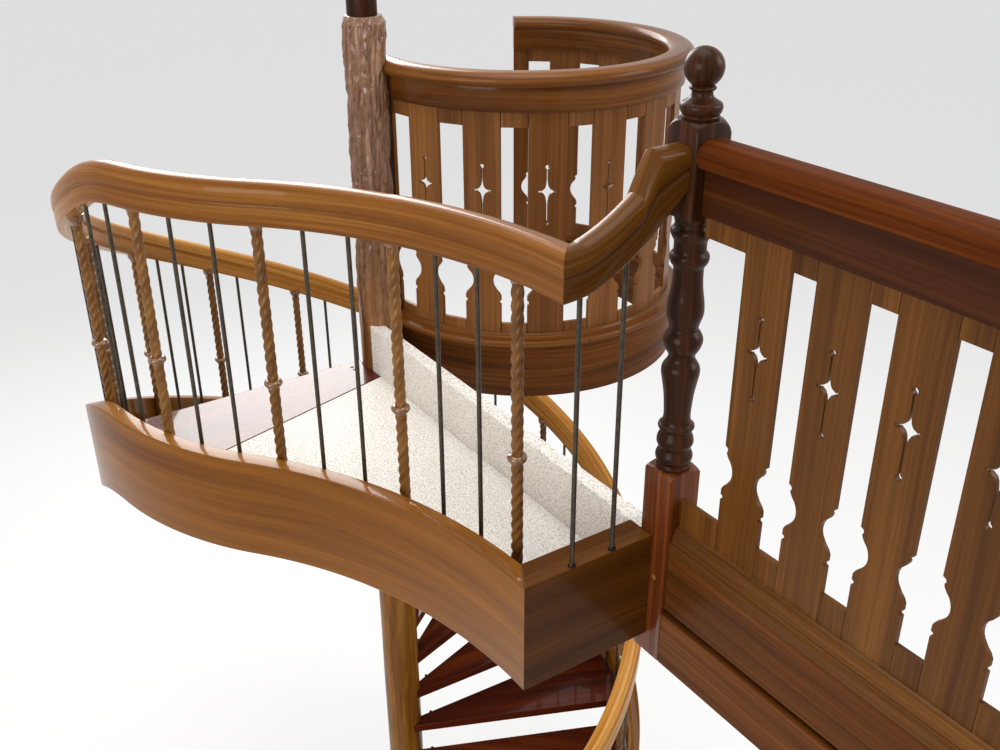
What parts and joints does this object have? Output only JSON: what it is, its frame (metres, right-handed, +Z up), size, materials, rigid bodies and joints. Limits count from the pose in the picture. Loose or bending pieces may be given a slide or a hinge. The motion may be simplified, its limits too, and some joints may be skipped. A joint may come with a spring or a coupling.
{
  "type": "spiral staircase",
  "caption": "Timber spiral stair winding round a natural log, with a carpeted landing, laminated string and handrail, and fretwork balustrades.",
  "frame": {"origin": "centre of the centre log's flat foot, on the ground floor", "axes": "+Z up along the log; +X from the log along the gallery; +Y horizontal, across the upper floor, away from the landing"},
  "size_m": [3.7984, 2.2643, 3.979],
  "materials": {
    "log": "peeled natural log, clear gloss varnish, grey-brown and gnarled above",
    "dark_pole": "dark stained gloss",
    "tread": "red mahogany, gloss varnish",
    "deck": "plain structural timber",
    "carpet": "off-white loop pile carpet",
    "string": "laminated golden-orange timber, satin gloss",
    "handrail": "laminated golden-brown timber, gloss",
    "rod": "dark satin steel",
    "twisted": "golden-brown turned timber, gloss",
    "collar": "turned timber, gloss",
    "newel": "dark mahogany, gloss",
    "gallery_rail": "dark mahogany, gloss",
    "fretwork": "golden-brown boards, satin gloss",
    "beam": "reddish timber, satin"
  },
  "bodies": {
    "root": {"centre_log": "log", "post_pole": "dark_pole", "tread_01": "tread", "tread_02": "tread", "tread_03": "tread", "tread_04": "tread", "tread_05": "tread", "tread_06": "tread", "tread_07": "tread", "tread_08": "tread", "tread_09": "tread", "tread_10": "tread", "tread_11": "tread", "tread_12": "tread", "tread_13": "tread", "tread_14": "tread", "tread_15": "tread", "landing_deck": "deck", "landing_carpet": "carpet", "landing_riser": "carpet", "landing_string": "string", "short_string": "string", "string_upper": "string", "string_middle": "string", "string_lower": "string", "landing_handrail": "handrail", "handrail_ramp": "handrail", "handrail_upper": "handrail", "handrail_middle": "handrail", "handrail_lower": "handrail", "landing_rods": "rod", "flight_rods": "rod", "landing_twisted_balusters": "twisted", "flight_twisted_balusters": "twisted", "baluster_collars": "collar", "top_newel": "newel", "bottom_newel": "newel", "gallery_handrail": "gallery_rail", "gallery_fascia": "gallery_rail", "gallery_fretwork": "fretwork", "gallery_base_mould": "fretwork", "gallery_upper_beam": "beam", "gallery_lower_beam": "beam", "well_handrail": "handrail", "well_fascia": "fretwork", "well_fretwork": "fretwork", "well_base_mould": "fretwork", "well_trimmer": "beam"}
  },
  "joints": []
}
